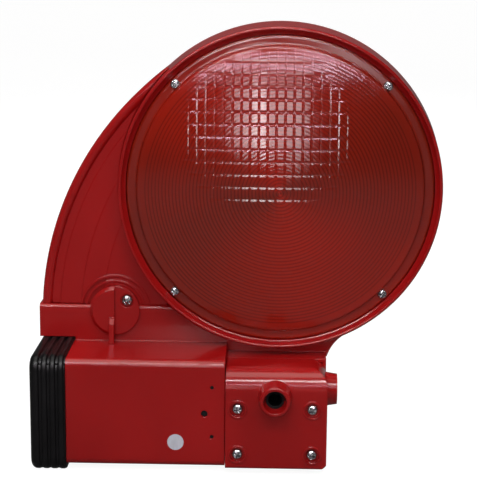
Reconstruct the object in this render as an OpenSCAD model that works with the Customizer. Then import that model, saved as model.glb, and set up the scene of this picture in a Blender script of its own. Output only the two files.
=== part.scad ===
// Barricade warning light with one lens, a battery box and a bolt-on mount block.
// Millimetres, +Z up, the lens looks towards -Y. The origin is where the axis of the
// mounting bolt leaves the flat back of the mount block.

/* [Mouldings] */
// Wall thickness of the plastic mouldings
wall = 2.4; // [2:0.1:2.8]
// Gap that one moulding leaves round the next
fit = 0.3; // [0.2:0.05:0.4]

/* [Lens head] */
// Sideways distance from the bolt axis to the lens axis
head_x = 1.5; // [0:0.5:4]
// Diameter of the rim round the lens
rim_d = 216; // [180:1:260]
// How much wider the drum is at the back than at the rim, on the radius
drum_flare = 2.4; // [1:0.1:4]
// Depth of the rim front in front of the back plane
rim_y = 42; // [40:1:46]
// Width of the rim outside the lens
rim_w = 5; // [4:0.1:6]
// Height of the lens dome in front of the rim
dome_h = 11; // [7:1:18]
// Plain band between the lens edge and its rings
plain_band = 9.3; // [9:0.1:14]
// Radius from the lens edge inwards to the lens screws
screw_inset = 3.8; // [3.8:0.1:5]
// Thickness of the lens
lens_t = 2.6; // [2:0.1:3.4]
// Thickness of the rubber seals
seal_t = 1; // [0.8:0.1:1.4]
// Thickness of the inner prism plate
plate_t = 2.4; // [1.8:0.1:3]

/* [Arm] */
// Depth of the front of the arm in front of the back plane
arm_y = 28; // [25:1:30]
// Distance from the seam down to where the outer arc of the arm stands upright
arc_drop = 10; // [4:1:20]
// How far the arc of the arm runs inside the drum
arc_lap = 1.6; // [1:0.1:3]

/* [Battery] */
// Width of the square lantern battery
battery_w = 66.6; // [55.5:0.1:80]
// Length of the battery case
battery_len = 97; // [80:1:117]
// Height of the sprung battery terminals when pressed
terminal_h = 12; // [10:1:15]

/* [Battery box] */
// Distance from the bolt axis down to the underside
drop = 49.5; // [47:0.5:60]
// Spare room in front of and behind the battery, together
bay_spare = 3.8; // [3:0.1:8]
// Distance from the back plane to the back of the box
box_back = 4; // [3.6:0.1:8]
// Radius of the long edges of the box
box_edge = 4.5; // [3:0.5:6]
// Height of the collar above the box
collar_h = 25.2; // [24:0.1:32]
// Depth of the front of the collar in front of the back plane
collar_y = 30; // [28:1:33]
// How far the collar stands out past the arm at the left
collar_lip = 1.2; // [1:0.1:4]
// Diameter of the blank round sticker
label_d = 10.8; // [8:0.2:14]
// Distance from the right end of the box to the middle of the sticker
label_in = 32.5; // [25:0.5:60]
// Distance from the middle of the box down to the middle of the sticker
label_down = 19.2; // [0:0.2:24]

/* [End cap] */
// How far the cap stands above the box
cap_up = 2.2; // [2:0.1:4]
// How far the cap hangs below the box
cap_down = 4.5; // [2:0.1:6]
// How far the cap stands out in front of the box and behind it
cap_out = 3; // [2:0.1:3.4]
// Length of the cap skirt along the box
skirt = 19; // [15:1:26]
// Number of ribs round the cap
ribs = 4; // [3:1:5]
// Height of the ribs
rib_h = 1; // [0.6:0.1:1.2]
// Radius of the corners of the cap
cap_corner = 8; // [5:0.5:10]

/* [Mount block] */
// Distance from the bolt axis to the left side of the block
block_l = 33; // [33:0.1:40]
// Distance from the bolt axis to the right side of the block
block_r = 34.3; // [33:0.1:41]
// Height of the top of the block above the bolt axis
block_top = 17; // [15:0.5:22]
// Depth of the front of the block in front of the back plane
block_y = 82; // [80:1:90]
// Depth of the joint between the block and its cover
part_y = 47.5; // [44:0.5:48]
// Radius of the top front edge of the cover
top_edge = 14; // [8:1:16]
// Radius of the top right corner of the cover
corner_r = 10; // [6:1:12]
// Diameter of the bolt bore
bore_d = 9; // [8.4:0.1:10.5]
// Outer diameter of the steel sleeve
sleeve_d = 12; // [11.5:0.1:14]
// Outer diameter of the boss faces
boss_d = 20.3; // [18:0.1:24]
// How much wider the bosses are at the root
boss_flare = 2.6; // [1:0.1:4]
// How far the front boss stands out
front_boss = 11.5; // [8:0.5:14]
// How far the side boss stands out
side_boss = 6.9; // [5:0.1:10]
// Depth of the side boss axis in front of the back plane
side_y = 60; // [60:0.5:64]
// Sideways distance between the cover screws
cover_pitch_x = 49.2; // [44:0.2:52]
// Height of the upper cover screws below the bolt axis
cover_screw_up = 8.6; // [4:0.1:10]
// Height between the upper and the lower cover screws
cover_pitch_z = 31; // [26:0.5:34]

/* [Clamp disc] */
// Diameter of the disc that bridges the seam
clamp_d = 34; // [30:1:38]
// Distance from the left end of the collar to the middle of the disc
clamp_in = 52; // [46:1:60]
// Height of the seam above the middle of the disc
clamp_low = 3.4; // [2:0.1:6]

/* [Rear cover] */
// Width of the ledge that carries the rear cover
ledge = 10; // [8:1:14]

/* [Hidden] */
$fn = 96;
small_fn = 32;
eps = 0.01;

// Distances along X, from the open end of the box to the mount block
end_wall = 3;
wire_gap = 3.5;
carrier_t = 4;
strip_t = 1;
end_room = 3.5;
cap_end = 4.4;
box_r = -block_l;
bay_r = box_r - end_wall;
carrier_r = bay_r - wire_gap;
carrier_l = carrier_r - carrier_t;
strip_l = carrier_l - strip_t;
battery_r = strip_l - terminal_h;
battery_l = battery_r - battery_len;
box_l = battery_l - end_room;
cap_in = box_l - fit;
cap_l = cap_in - cap_end;
cap_r = box_l + skirt;
collar_l = cap_l - 0.4;

// Distances along Z
side_room = 0.5;
box_bottom = -drop;
bay_bottom = box_bottom + wall;
bay_top = bay_bottom + battery_w + 2 * side_room;
box_top = bay_top + wall;
box_mid = (box_bottom + box_top) / 2;
seam_z = box_top + collar_h;
cap_top = box_top + cap_up;
cap_bottom = box_bottom - cap_down;

// Distances along Y
head_back = -1;
box_rear = -box_back;
bay_rear = box_rear - wall;
bay_front = bay_rear - battery_w - bay_spare;
box_front = bay_front - wall;
battery_y = (bay_rear + bay_front) / 2;

// Lens head
rim_r = rim_d / 2;
drum_r = rim_r + drum_flare;
lens_r = rim_r - rim_w - fit;
screw_r = lens_r - screw_inset;
ring_r = lens_r - plain_band;
rim_gap = 4.9;
corner_gap = 2.5;
over_block = block_top + rim_gap + rim_r;
over_box = box_top + corner_gap + sqrt(pow(drum_r, 2) - pow(head_x - box_r, 2));
head_z = max(over_block, over_box);
rim_dish = 4;
flange_y = rim_dish - rim_y;
flange_back = flange_y + lens_t;
seat_y = flange_back + seal_t;
plate_r = lens_r - 6.2;
plate_back = seat_y + plate_t;
seat_t = 2.2;
drum_edge = 8;
lens_angles = [45, 135, 225, 315];

// Rear cover of the lens head
cover_r = drum_r - drum_edge - 2.2;
cover_hole_r = cover_r - ledge;
cover_seat = head_back - 2.4 - seal_t;
rear_screw_r = cover_r - ledge / 2;
rear_angles = [22.5, 112.5, 202.5, 292.5];

// Arm: its outer edge is an arc from the collar that meets the drum with a small lap
arm_l = collar_l + collar_lip;
arc_z = seam_z - arc_drop;
arc_c = head_x - arm_l;
arc_d = head_z - arc_z;
arc_k = drum_r - arc_lap;
arc_r = (pow(arc_c, 2) + pow(arc_d, 2) - pow(arc_k, 2)) / (2 * (arc_c - arc_k));
arc_x = arm_l + arc_r;
arc_step = [0, 12.5, 27, 42];
arc_rise = 0.8;
// Point where the arc of the arm runs into the drum
meet = arc_meet();

// Neck: a fillet joins the right side of the block to the drum
fillet_r = 27;
fillet_x = block_r + fillet_r;
fillet_z = head_z - sqrt(pow(drum_r + fillet_r, 2) - pow(fillet_x - head_x, 2));

// Mount block
boss_root = boss_d + boss_flare;
sleeve_front = -(block_y + front_boss - 6.5);
cover_l = 0.4 - block_l;
screw_z_up = -cover_screw_up;
screw_z_low = screw_z_up - cover_pitch_z;
cover_points = [for (x = [-1, 1], z = [screw_z_up, screw_z_low]) [x * cover_pitch_x / 2, z]];
post_d = 8;
insert_d = 13;
insert_len = 22;

// Clamp disc
clamp_x = collar_l + clamp_in;
clamp_z = seam_z - clamp_low;
clamp_screw_x = clamp_x + 8.3;
clamp_screw_z = seam_z + 3.6;
peg_x = clamp_x - 7;
peg_z = clamp_z - 6;
peg_d = 5;

// Tab that holds the foot of the drum to the neck
tab_w = 34;
tab_top = head_z - drum_r + 3;
tab_bottom = tab_top - 15;
tab_hole_z = tab_bottom + 5;
tab_points = [head_x - 10, head_x + 10];

// Lamp board on the rear cover
board_r = 30;
board_t = 1.6;
post_h = 9;
board_rear = cover_seat - post_h;
board_front = board_rear - board_t;
board_hole_r = 25;
board_angles = [60, 180, 300];

// Contacts and switch
pin_d = 2.4;
pin_points = [box_mid + 18.5, box_mid - 15.2];
switch_x = carrier_l - 3;
switch_z = box_mid + 0.6;
switch_hole_d = 4.4;
button_d = 4;
press = 1.5;
term_pos = [[battery_y, box_mid], [battery_y + 20, box_mid + 20]];

// Shortest route of the two leads from the contacts to the lamp board
lead_d = 1.6;
lead_mid_x = (bay_r + carrier_r) / 2;
lead_y = [-21, -17];
lead_run = 17;
drum_left = head_x - sqrt(pow(drum_r, 2) - pow(head_z - seam_z - 8, 2));

function arc_meet() =
    let (gap = [head_x - arc_x, head_z - arc_z])
    let (far = norm(gap))
    let (along = (pow(arc_r, 2) - pow(drum_r, 2) + pow(far, 2)) / (2 * far))
    let (side = sqrt(max(0, pow(arc_r, 2) - pow(along, 2))))
    let (u = gap / far)
    [arc_x + along * u[0] - side * u[1], arc_z + along * u[1] + side * u[0]];

function ring_point(r, angle) = [head_x + r * cos(angle), head_z + r * sin(angle)];

// Extrusions along X and Y, and a turned shape about an axis along Y
module along_x(x0, x1) {
    translate([x0, 0, 0]) rotate([90, 0, 90]) linear_extrude(x1 - x0) children();
}

module along_y(y0, y1) {
    translate([0, y1, 0]) rotate([90, 0, 0]) linear_extrude(y1 - y0) children();
}

module turned(x, z) {
    translate([x, 0, z]) rotate([-90, 0, 0]) rotate_extrude() children();
}

// Rod along Y from y0 (front) to y1 (back)
module rod_y(p, y0, y1, d) {
    translate([p[0], y1, p[1]]) rotate([90, 0, 0]) cylinder(h = y1 - y0, d = d);
}

// Cone along Y with the diameter d0 at y0 and d1 at y1
module cone_y(p, y0, y1, d0, d1) {
    translate([p[0], y1, p[1]]) rotate([90, 0, 0]) cylinder(h = y1 - y0, d1 = d1, d2 = d0);
}

// Rod along X from x0 to x1 at the point p = [y, z]
module rod_x(p, x0, x1, d) {
    translate([x0, p[0], p[1]]) rotate([0, 90, 0]) cylinder(h = x1 - x0, d = d);
}

module block(low, high) {
    translate(low) cube(high - low);
}

// Rectangle with round corners
module soft_rect(x0, x1, y0, y1, r) {
    translate([x0 + r, y0]) square([x1 - x0 - 2 * r, y1 - y0]);
    translate([x0, y0 + r]) square([x1 - x0, y1 - y0 - 2 * r]);
    for (x = [x0 + r, x1 - r], y = [y0 + r, y1 - r]) translate([x, y]) circle(r);
}

// Pan-head screw with a cross recess, its head seated at y and its point behind it
module pan_screw(p, y, head_d, head_h, shank_d, len) {
    slot = head_d / 6;
    difference() {
        union() {
            rod_y(p, y - head_h * 0.55, y, head_d);
            cone_y(p, y - head_h, y - head_h * 0.55, head_d * 0.7, head_d);
            rod_y(p, y - eps, y + len - shank_d / 2, shank_d);
            cone_y(p, y + len - shank_d / 2, y + len, shank_d, shank_d / 3);
        }
        for (w = [[slot, head_d * 0.6], [head_d * 0.6, slot]])
            translate([p[0] - w[0] / 2, y - head_h - 1, p[1] - w[1] / 2])
                cube([w[0], head_h * 0.6 + 1, w[1]]);
    }
}

// ---- Base: battery box, collar, neck and the back of the mount block ----

// Collar and neck as seen from the front, drawn in by the given inset
module neck_outline(inset) {
    cap_clear = cap_top + fit;
    floor_z = inset > 0 ? box_top : box_top - 1;
    difference() {
        union() {
            translate([cap_r + fit + inset, floor_z])
                square([head_x - cap_r - fit - inset, seam_z - floor_z + 2 * inset]);
            translate([collar_l + inset, cap_clear + inset])
                square([head_x - collar_l - inset, seam_z - cap_clear + inset]);
            translate([-block_l + inset, block_top - 3 - inset])
                square([block_l + block_r + drum_r / 8 - 2 * inset, box_top - block_top + 18]);
        }
        translate([head_x, head_z]) circle(drum_r + fit + inset);
        translate([fillet_x, fillet_z]) circle(fillet_r + inset);
        translate([fillet_x, fillet_z - fillet_r - inset]) square(2 * fillet_r);
        translate([collar_l - 1, seam_z + 2 * inset]) square([2 * rim_d, rim_d]);
    }
}

module collar_profile(inset) {
    r = 2.5;
    translate([-collar_y + inset, block_top - 8])
        square([collar_y + head_back - 2 * inset, seam_z - block_top + 8 - r + inset]);
    translate([-collar_y + r + (inset > 0 ? inset : 0), block_top - 8])
        square([collar_y + head_back - r - 2 * inset, seam_z - block_top + 8 + 2 * inset]);
    if (inset == 0)
        translate([-collar_y + r, seam_z - r]) circle(r);
}

module neck_outer() {
    intersection() {
        along_y(-collar_y, head_back) neck_outline(0);
        along_x(collar_l - 1, block_r + drum_r) collar_profile(0);
    }
}

module neck_hollow() {
    along_y(-collar_y + wall, head_back - wall) neck_outline(wall);
}

module block_rear_outline() {
    cut = 3;
    polygon([
        [box_r - end_wall, box_bottom], [block_r - cut, box_bottom],
        [block_r, box_bottom + cut], [block_r, block_top], [box_r - end_wall, block_top]
    ]);
}

module base_housing() {
    color("firebrick")
    difference() {
        union() {
            along_x(box_l, box_r) soft_rect(box_front, box_rear, box_bottom, box_top, box_edge);
            along_y(-part_y, 0) block_rear_outline();
            neck_outer();
        }
        block([box_l - 1, bay_front, bay_bottom], [bay_r, bay_rear, bay_top]);
        difference() {
            block([box_r + wall, -part_y - 1, box_bottom + wall],
                  [block_r - wall, -wall, block_top - wall]);
            rod_y([0, 0], -part_y - 2, 0, sleeve_d + 2 * wall);
            for (p = cover_points) rod_y(p, -part_y - 2, 0, post_d);
        }
        neck_hollow();
        // The neck opens into the block below it
        block([box_r + wall, -collar_y + wall, block_top - 2 * wall],
              [block_r - wall, head_back - wall, block_top + 1]);
        rod_y([0, 0], -part_y - 1, 1, sleeve_d + 2 * 0.05);
        for (p = cover_points) rod_y(p, -part_y - 1, -18, 2.8);
        // Slot for the leads in the top of the box
        block([lead_mid_x - lead_run - 2, lead_y[0] - 3, bay_top - 1],
              [bay_r - 0.2, lead_y[1] + 3, box_top + 0.5]);
        // Holes in the front of the box for the carrier pins and the button
        for (z = pin_points)
            rod_y([(carrier_l + carrier_r) / 2, z], box_front - 1, bay_front + 1, pin_d + 0.1);
        rod_y([switch_x, switch_z], box_front - 1, bay_front + 1, switch_hole_d);
        // Socket for the peg of the clamp disc
        rod_y([peg_x, peg_z], -collar_y - 1, -collar_y + wall + 1, peg_d + 0.3);
        // Slot for the tab of the head, and its screw holes
        block([head_x - tab_w / 2 - fit, -13 - fit, tab_bottom - fit],
              [head_x + tab_w / 2 + fit, head_back - wall, head_z - drum_r + wall + 4]);
        for (x = tab_points) rod_y([x, tab_hole_z], head_back - wall - 1, 1, 3.6);
        for (x = tab_points) rod_y([x, tab_hole_z], head_back - 1.2, 1, 7);
    }
}

// ---- Lens head ----

module drum_profile() {
    front = -rim_y;
    lip = 1.2;
    difference() {
        union() {
            polygon([
                [cover_hole_r, head_back], [drum_r - drum_edge, head_back],
                [drum_r, head_back - drum_edge], [rim_r, front + lip],
                [rim_r - lip, front], [rim_r - 2 * lip, front + rim_dish * 0.35],
                [lens_r + fit + 0.9, flange_y - rim_dish * 0.15], [lens_r + fit, flange_y],
                [cover_hole_r, flange_y]
            ]);
            translate([drum_r - drum_edge, head_back - drum_edge]) circle(drum_edge);
            translate([rim_r - lip, front + lip]) circle(lip, $fn = small_fn);
        }
        // Recess for the lens, ledge for the prism plate, and the window through both
        translate([0, front - 1]) square([lens_r + fit, seat_y - front + 1]);
        translate([0, seat_y - eps]) square([plate_r + fit, plate_t + eps]);
        translate([0, seat_y]) square([plate_r - 6, rim_y]);
        // Inside of the drum between the seat and the back wall
        polygon([
            [0, plate_back + seat_t], [rim_r - wall, plate_back + seat_t],
            [drum_r - wall, head_back - drum_edge],
            [drum_r - drum_edge - 1, cover_seat - wall], [0, cover_seat - wall]
        ]);
        // Recess for the rear cover
        translate([0, cover_seat]) square([cover_r + fit, 10]);
        square([2 * cover_hole_r, 100], center = true);
    }
}

// Arm profile about the middle of its arc: a round edge and shallow steps
module arm_profile() {
    edge = 3.5;
    full = arc_r - arc_r * 0.6;
    translate([arc_r * 0.6, -arm_y + edge]) square([full, arm_y - edge + head_back]);
    translate([arc_r * 0.6, -arm_y + 3 * arc_rise])
        square([full - edge, arm_y + head_back - 3 * arc_rise]);
    translate([arc_r - edge, -arm_y + edge + 3 * arc_rise - 2.4]) circle(edge, $fn = small_fn);
    for (i = [1 : 3])
        translate([arc_r * 0.6, -arm_y + (3 - i) * arc_rise])
            square([full - arc_step[i], arm_y / 2]);
}

module arm_wedge(grow) {
    polygon([
        [arm_l - 5, seam_z + grow], [arm_l - 5, meet[1]], meet,
        [head_x, head_z], [head_x, seam_z + grow]
    ]);
}

module arm_outer() {
    intersection() {
        turned(arc_x, arc_z) arm_profile();
        along_y(-arm_y, head_back) arm_wedge(0);
    }
}

module arm_hollow() {
    intersection() {
        turned(arc_x, arc_z)
            translate([arc_r * 0.55, -arm_y + wall + 3 * arc_rise])
                square([arc_r * 0.45 - wall, arm_y - 2 * wall - 3 * arc_rise + head_back]);
        along_y(-arm_y, head_back) difference() {
            arm_wedge(-1);
            translate([head_x, head_z]) circle(drum_r);
        }
    }
}

// Curved ridges on the arm round the clamp disc
module clamp_rings() {
    difference() {
        union() for (r = [clamp_d / 2 + 2, clamp_d / 2 + 5.6])
            turned(clamp_x, clamp_z) translate([r, -arm_y - 0.6]) square([1.6, 3]);
        block([arm_l, -rim_y, box_bottom], [head_x, 0, seam_z]);
        turned(arc_x, arc_z) translate([arc_r - 16, -rim_y]) square([40, rim_y]);
    }
}

module head_housing() {
    color("firebrick")
    difference() {
        union() {
            difference() {
                union() {
                    arm_outer();
                    clamp_rings();
                }
                turned(head_x, head_z) translate([0, -rim_y]) square([drum_r - 1, rim_y]);
            }
            turned(head_x, head_z) drum_profile();
            for (a = lens_angles) rod_y(ring_point(screw_r, a), seat_y + eps, seat_y + 16, post_d);
            for (a = rear_angles)
                rod_y(ring_point(rear_screw_r, a), cover_seat - 9, cover_seat - eps, post_d);
            block([head_x - tab_w / 2, -13, tab_bottom],
                  [head_x + tab_w / 2, head_back - wall - fit, head_z - drum_r + 4]);
        }
        difference() {
            arm_hollow();
            // Boss for the clamp screw
            rod_y([clamp_screw_x, clamp_screw_z], -arm_y, head_back, post_d);
        }
        turned(head_x, head_z) translate([0, seat_y - 3]) square([plate_r + fit, plate_t + 3]);
        turned(head_x, head_z) translate([0, seat_y - 3]) square([lens_r + fit, 3]);
        for (a = lens_angles) rod_y(ring_point(screw_r, a), seat_y - 1, seat_y + 14, 2.8);
        for (a = rear_angles)
            rod_y(ring_point(rear_screw_r, a), cover_seat - 8, cover_seat + 1, 2.4);
        rod_y([clamp_screw_x, clamp_screw_z], -rim_y, -arm_y + 16, 2.8);
        for (x = tab_points) rod_y([x, tab_hole_z], -14, 0, 2.4);
        // Hole for the leads from the arm into the drum
        rod_x([(lead_y[0] + lead_y[1]) / 2, seam_z + 8], drum_left - 6, drum_left + 10, 9);
    }
}

module lens() {
    sag = dome_h - 0.4;
    dome_r = (pow(ring_r, 2) + pow(sag, 2)) / (2 * sag);
    apex = -rim_y - dome_h;
    base = apex + sag;
    color([0.62, 0.08, 0.05, 0.7])
    difference() {
        turned(head_x, head_z) union() {
            intersection() {
                difference() {
                    translate([0, apex + dome_r]) circle(dome_r, $fn = 360);
                    translate([0, apex + lens_t + dome_r]) circle(dome_r, $fn = 360);
                }
                translate([0, apex - 1]) square([ring_r, sag + 4]);
            }
            translate([ring_r - 0.5, base]) square([2.4, lens_t]);
            polygon([
                [ring_r + 1.5, base], [ring_r + 2.6, base + 0.6], [ring_r + 3.6, flange_y],
                [ring_r + 3.6, flange_back], [ring_r + 2.2, flange_back],
                [ring_r + 1.5, base + lens_t]
            ]);
            translate([ring_r + 3.2, flange_y]) square([lens_r - ring_r - 3.2, lens_t]);
        }
        for (a = lens_angles) rod_y(ring_point(screw_r, a), apex, 0, 4.4);
        for (a = lens_angles) rod_y(ring_point(screw_r, a), apex, flange_y, 7.4);
    }
}

module lens_seal() {
    color("dimgray")
    difference() {
        turned(head_x, head_z) translate([plate_r - 3, flange_back])
            square([lens_r - plate_r + 3, seal_t]);
        for (a = lens_angles) rod_y(ring_point(screw_r, a), -rim_y, 0, 4.4);
    }
}

module lens_screws() {
    color("silver")
    for (a = lens_angles) pan_screw(ring_point(screw_r, a), flange_y, 6.4, 2.6, 2.8 - 0.1, 14);
}

module prism_plate() {
    color([0.9, 0.9, 0.88, 0.5])
    turned(head_x, head_z) translate([0, seat_y]) square([plate_r, plate_t]);
}

module rear_cover() {
    color("firebrick")
    difference() {
        union() {
            turned(head_x, head_z) translate([0, cover_seat + seal_t])
                square([cover_r, head_back - cover_seat - seal_t]);
            turned(head_x, head_z) translate([cover_hole_r - 3, cover_seat - 4])
                square([2.4, 4 + seal_t + eps]);
            for (a = board_angles)
                rod_y(ring_point(board_hole_r, a), board_rear, cover_seat + seal_t + eps, 7);
        }
        for (a = board_angles)
            rod_y(ring_point(board_hole_r, a), board_rear - 1, cover_seat, 2.4);
        for (a = rear_angles) rod_y(ring_point(rear_screw_r, a), cover_seat, 1, 3.4);
        for (a = rear_angles) rod_y(ring_point(rear_screw_r, a), head_back - 1.2, 1, 6.6);
    }
}

module rear_seal() {
    color("dimgray")
    difference() {
        turned(head_x, head_z) translate([cover_hole_r, cover_seat])
            square([cover_r - cover_hole_r, seal_t]);
        for (a = rear_angles) rod_y(ring_point(rear_screw_r, a), -rim_y, 0, 3.4);
    }
}

module rear_screws() {
    color("silver")
    for (a = rear_angles) {
        p = ring_point(rear_screw_r, a);
        mirror([0, 1, 0]) pan_screw(p, -(head_back - 1.2), 5.6, 1.1, 2.3, 9.6);
    }
}

module led_board() {
    color("seagreen")
    difference() {
        rod_y([head_x, head_z], board_front, board_rear, 2 * board_r);
        for (a = board_angles) rod_y(ring_point(board_hole_r, a), -rim_y, 0, 2.8);
    }
}

module led_emitter() {
    color("gold")
    difference() {
        union() {
            rod_y([head_x, head_z], board_front - 5, board_front, 6);
            translate([head_x, board_front - 5, head_z]) sphere(d = 6, $fn = 48);
        }
        block([head_x - 5, board_front, head_z - 5], [head_x + 5, 0, head_z + 5]);
    }
}

module led_collar() {
    color("white")
    difference() {
        cone_y([head_x, head_z], board_front - 8, board_front, 22, 10);
        cone_y([head_x, head_z], board_front - 8 - eps, board_front + eps, 20, 7);
    }
}

module light_sensor() {
    color("dimgray") rod_y([head_x + 15, head_z + 14], board_front - 2.2, board_front, 5);
}

module board_capacitor() {
    color("midnightblue") rod_y([head_x - 17, head_z + 6], board_front - 9, board_front, 8);
}

module board_connector() {
    color("ivory")
    difference() {
        block([head_x - 22, board_front - 6, head_z - 18], [head_x - 13, board_front, head_z - 8]);
        for (i = [0, 1]) rod_x([board_front - 3, head_z - 15 + 4 * i], head_x - 23, head_x - 17, 2);
    }
}

module board_screws() {
    color("silver")
    for (a = board_angles) pan_screw(ring_point(board_hole_r, a), board_front, 4.8, 1.8, 2.3, 8);
}

// ---- Clamp between the head and the base ----

module clamp_disc() {
    mid = -collar_y - 2.2;
    high = -collar_y - 4.4;
    fin_w = 3.6;
    foot = box_top + 0.2;
    color("firebrick")
    difference() {
        union() {
            rod_y([clamp_x, clamp_z], mid, -arm_y, clamp_d);
            intersection() {
                turned(clamp_x, clamp_z) polygon([
                    [0, high], [clamp_d / 2 - 2, high], [clamp_d / 2, high + 2],
                    [clamp_d / 2, -arm_y], [0, -arm_y]
                ]);
                block([clamp_x - clamp_d, -rim_y, clamp_z - clamp_d],
                      [clamp_x, 0, clamp_z + clamp_d]);
            }
            // Fin that leans back as it rises from the box to the disc
            along_x(clamp_x - fin_w, clamp_x) polygon([
                [-collar_y, foot], [-collar_y - 10, foot], [-collar_y - 8.5, clamp_z - 8],
                [-collar_y - 6, clamp_z - 5], [-collar_y, clamp_z - 3]
            ]);
            rod_y([peg_x, peg_z], -collar_y - 1, -collar_y + wall + 0.6, peg_d);
        }
        // The lower half lies on the collar, which stands in front of the arm
        difference() {
            block([clamp_x - clamp_d, -collar_y, clamp_z - clamp_d],
                  [clamp_x + clamp_d, 0, seam_z + 0.05]);
            rod_y([peg_x, peg_z], -collar_y - 1, 0, peg_d);
        }
        block([clamp_x - clamp_d, -arm_y - 0.6, seam_z], [clamp_x + clamp_d, 0, seam_z + clamp_d]);
        rod_y([clamp_screw_x, clamp_screw_z], -rim_y, 0, 3.2);
        rod_y([clamp_screw_x, clamp_screw_z], -rim_y, mid + 1.4, 9);
    }
}

module clamp_screw() {
    color("silver")
    pan_screw([clamp_screw_x, clamp_screw_z], -collar_y - 2.2 + 1.4, 7.4, 2.6, 2.7, 14);
}

module tab_screws() {
    color("silver")
    for (x = tab_points)
        mirror([0, 1, 0]) pan_screw([x, tab_hole_z], -(head_back - 1.2), 6, 1.1, 2.3, 11);
}

// ---- Mount cover, sleeve and insert ----

module cover_front_outline() {
    r = 2;
    cut = 3;
    polygon([
        [cover_l, box_bottom], [block_r - cut, box_bottom], [block_r, box_bottom + cut],
        [block_r, block_top - corner_r], [block_r - corner_r, block_top - corner_r],
        [block_r - corner_r, block_top], [cover_l, block_top]
    ]);
    translate([block_r - corner_r, block_top - corner_r]) circle(corner_r);
}

module cover_side_profile() {
    low = 2;
    translate([-block_y, box_bottom + low])
        square([block_y - part_y, block_top - box_bottom - top_edge - low]);
    translate([-block_y + low, box_bottom])
        square([block_y - part_y - low, block_top - box_bottom - top_edge]);
    translate([-block_y + low, box_bottom + low]) circle(low, $fn = small_fn);
    translate([-block_y + top_edge, box_bottom + low])
        square([block_y - part_y - top_edge, block_top - box_bottom - low]);
    translate([-block_y + top_edge, block_top - top_edge]) circle(top_edge);
}

module mount_cover() {
    funnel = 6.5;
    face = -block_y - front_boss;
    color("firebrick")
    difference() {
        union() {
            intersection() {
                along_y(-block_y, -part_y) cover_front_outline();
                along_x(cover_l, block_r) cover_side_profile();
            }
            cone_y([0, 0], face + 1, -block_y + 1, boss_d, boss_root);
            cone_y([0, 0], face, face + 1, boss_d - 1.6, boss_d);
            translate([block_r - 1, -side_y, 0]) rotate([0, 90, 0])
                cylinder(h = side_boss + 1, d1 = boss_root, d2 = boss_d);
            for (p = cover_points) rod_y(p, -block_y - 0.7, -block_y + 1, 12.5);
        }
        difference() {
            block([cover_l + wall, -block_y + wall + 1, box_bottom + wall],
                  [block_r - wall, -part_y + 1, block_top - top_edge * 0.4 - wall]);
            rod_y([0, 0], -block_y, 0, sleeve_d + 2 * wall);
            rod_x([-side_y, 0], 0, block_r, insert_d + 2 * wall);
            for (p = cover_points) rod_y(p, -block_y, 0, post_d);
        }
        rod_y([0, 0], face - 1, 0, sleeve_d + 2 * 0.05);
        cone_y([0, 0], face - eps, face + funnel, boss_d - 5, sleeve_d + 0.1);
        rod_x([-side_y, 0], block_r + side_boss - insert_len, block_r + side_boss + 1,
              insert_d + 0.02);
        for (p = cover_points) rod_y(p, -block_y - 2, 0, 4.3);
        for (p = cover_points) rod_y(p, -block_y - 2, -block_y + 1.8, 9.8);
    }
}

module cover_screws() {
    color("silver")
    for (p = cover_points) pan_screw(p, -block_y + 1.8, 7, 2.6, 2.7, 54);
}

module bolt_sleeve() {
    color("gray")
    difference() {
        rod_y([0, 0], sleeve_front, 0, sleeve_d);
        rod_y([0, 0], sleeve_front - 1, 1, bore_d);
    }
}

module side_insert() {
    color("peru")
    difference() {
        rod_x([-side_y, 0], block_r + side_boss - insert_len, block_r + side_boss, insert_d);
        rod_x([-side_y, 0], block_r + side_boss - insert_len - 1, block_r + side_boss + 1, bore_d);
    }
}

// ---- End cap and battery ----

// Outline of the cap across the box, drawn in by the given inset
module cap_outline(inset) {
    soft_rect(box_front - cap_out + inset, box_rear + cap_out - inset,
              cap_bottom + inset, cap_top - inset, cap_corner - inset);
}

module battery_cap() {
    pitch = (cap_r - cap_l) / ribs;
    rib_w = pitch * 0.58;
    color([0.08, 0.08, 0.08])
    difference() {
        union() {
            along_x(cap_l + 0.8, cap_r) cap_outline(rib_h);
            for (i = [0 : ribs - 1]) {
                x = cap_l + pitch * i + (i == 0 ? 0.8 : pitch * 0.3);
                along_x(x, x + rib_w) cap_outline(0);
            }
            along_x(cap_l, cap_l + 1) cap_outline(2.4);
        }
        along_x(cap_in, cap_r + 1)
            soft_rect(box_front - fit, box_rear + fit, box_bottom - fit, box_top + fit,
                      box_edge + fit);
    }
    // Cross that holds the battery against its springs
    color([0.08, 0.08, 0.08]) {
        block([cap_in - eps, battery_y - 1.5, box_mid - 20],
              [battery_l - fit, battery_y + 1.5, box_mid + 20]);
        block([cap_in - eps, battery_y - 20, box_mid - 1.5],
              [battery_l - fit, battery_y + 20, box_mid + 1.5]);
    }
}

module battery_case() {
    half = battery_w / 2;
    color("darkslategray")
    along_x(battery_l, battery_r - 2)
        soft_rect(battery_y - half, battery_y + half, box_mid - half, box_mid + half, 6);
}

module battery_lid() {
    half = battery_w / 2;
    color("black")
    along_x(battery_r - 2, battery_r)
        soft_rect(battery_y - half, battery_y + half, box_mid - half, box_mid + half, 6);
}

// Conical coil spring along X: a helix that narrows towards the contact
function spring_rings(y, z, turns, r0, r1, wire, sides, steps) = [
    for (i = [0 : steps])
        let (t = i / steps)
        let (a = 360 * turns * t)
        let (r = r0 + (r1 - r0) * t)
        let (x = battery_r + wire / 2 + (terminal_h - wire) * t)
        [for (k = [0 : sides - 1])
            let (c = wire / 2 * cos(360 * k / sides))
            let (s = wire / 2 * sin(360 * k / sides))
            [x + s, y + (r + c) * cos(a), z + (r + c) * sin(a)]]
];

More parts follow.
